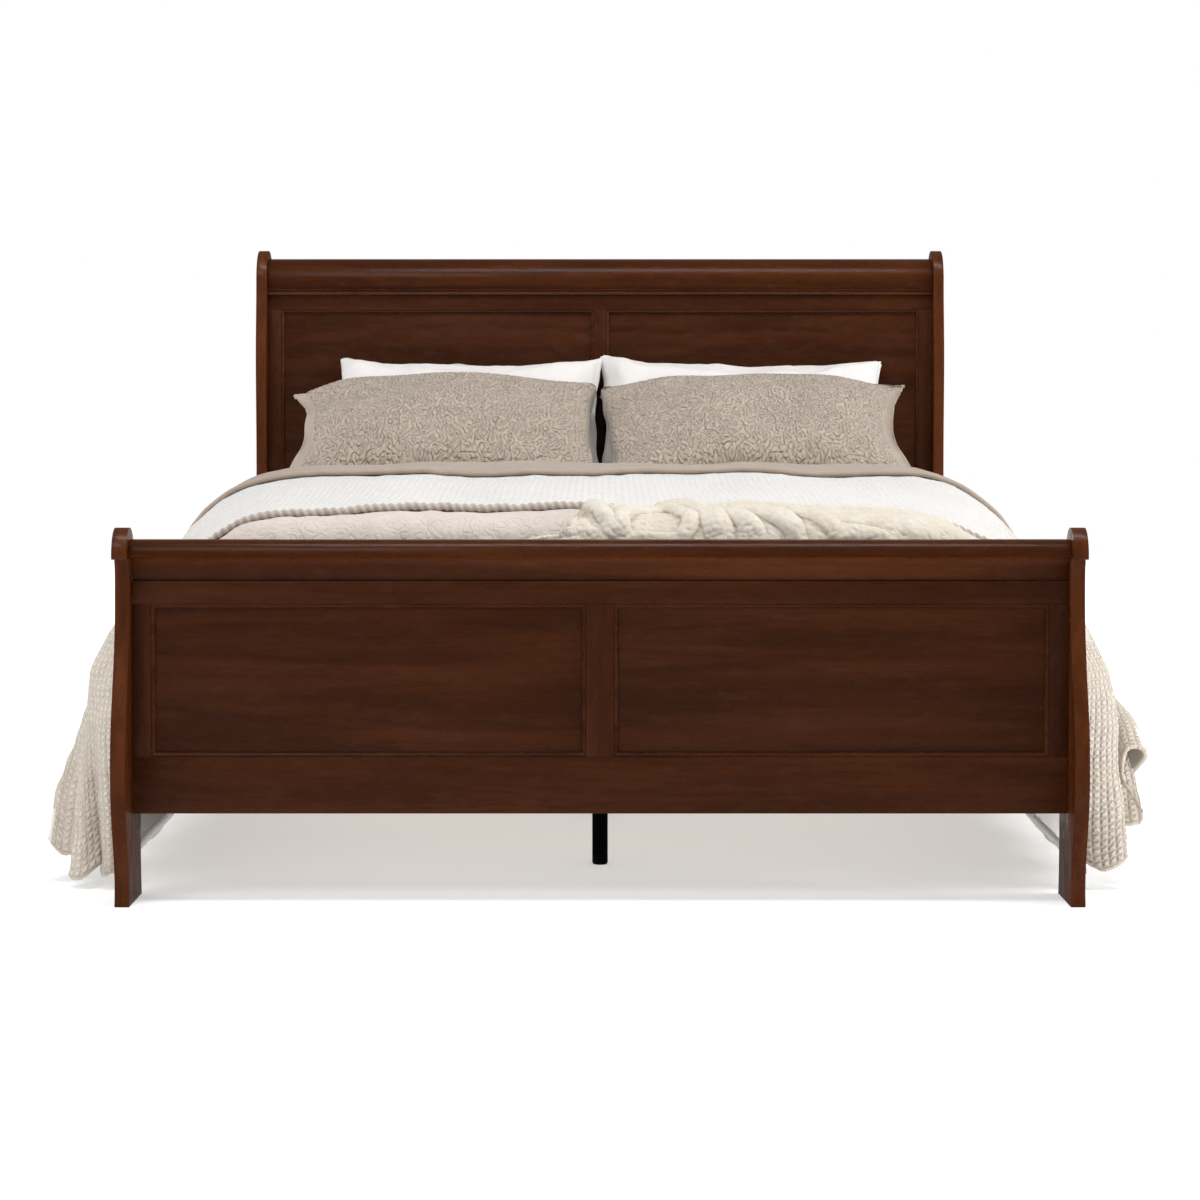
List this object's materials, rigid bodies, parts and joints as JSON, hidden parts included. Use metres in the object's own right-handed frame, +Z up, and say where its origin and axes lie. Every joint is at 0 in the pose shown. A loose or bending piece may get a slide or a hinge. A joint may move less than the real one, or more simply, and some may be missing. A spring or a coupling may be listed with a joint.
{
  "type": "sleigh bed",
  "caption": "Queen sleigh bed of dark wood, with scrolled posts, panelled headboard and footboard, side rails, slats, mattress and quilted bedding.",
  "frame": {"origin": "on the floor, under the middle of the bed's box", "axes": "+X across the bed, to the right seen from the foot; +Y along it, from the footboard to the headboard; +Z up"},
  "size_m": [1.8298, 2.297, 1.1778],
  "materials": {
    "cherry_wood": "dark cherry stain under a satin lacquer, eased edges",
    "pale_wood": "unfinished pine",
    "steel": "zinc-plated plate",
    "black_steel": "black powder coat",
    "black_plastic": "moulded black plastic",
    "ticking": "off-white knitted ticking",
    "white_cotton": "plain white cotton",
    "taupe_quilting": "taupe cotton, quilted in a fine winding pattern",
    "cream_matelasse": "off-white matelasse with a small waffle",
    "cream_fleece": "cream brushed fleece"
  },
  "bodies": {
    "root": {"box_spring": "ticking", "centre_leg_1": "black_steel", "centre_leg_2": "black_steel", "centre_leg_3": "black_steel", "comforter": "taupe_quilting", "footboard_bottom_rail": "cherry_wood", "footboard_frieze": "cherry_wood", "footboard_mullion": "cherry_wood", "footboard_panel_left": "cherry_wood", "footboard_panel_right": "cherry_wood", "footboard_post_left": "cherry_wood", "footboard_post_right": "cherry_wood", "footboard_roll": "cherry_wood", "footboard_stile_left": "cherry_wood", "footboard_stile_right": "cherry_wood", "footboard_top_rail": "cherry_wood", "headboard_bead": "cherry_wood", "headboard_bottom_rail": "cherry_wood", "headboard_mullion": "cherry_wood", "headboard_panel_left": "cherry_wood", "headboard_panel_right": "cherry_wood", "headboard_post_left": "cherry_wood", "headboard_post_right": "cherry_wood", "headboard_roll": "cherry_wood", "headboard_stile_left": "cherry_wood", "headboard_stile_right": "cherry_wood", "headboard_stretcher": "cherry_wood", "headboard_top_rail": "cherry_wood", "leg_glide_1": "black_plastic", "leg_glide_2": "black_plastic", "leg_glide_3": "black_plastic", "mattress": "ticking", "pillow_left": "white_cotton", "pillow_right": "white_cotton", "post_slots_foot_left": "steel", "post_slots_foot_right": "steel", "post_slots_head_left": "steel", "post_slots_head_right": "steel", "quilt": "cream_matelasse", "rail_hooks_foot_left": "steel", "rail_hooks_foot_right": "steel", "rail_hooks_head_left": "steel", "rail_hooks_head_right": "steel", "sham_left": "taupe_quilting", "sham_right": "taupe_quilting", "side_rail_left": "cherry_wood", "side_rail_right": "cherry_wood", "slat_1": "pale_wood", "slat_2": "pale_wood", "slat_3": "pale_wood", "slat_4": "pale_wood", "slat_5": "pale_wood", "slat_cleat_left": "pale_wood", "slat_cleat_right": "pale_wood", "throw_blanket": "cream_fleece"}
  },
  "joints": []
}
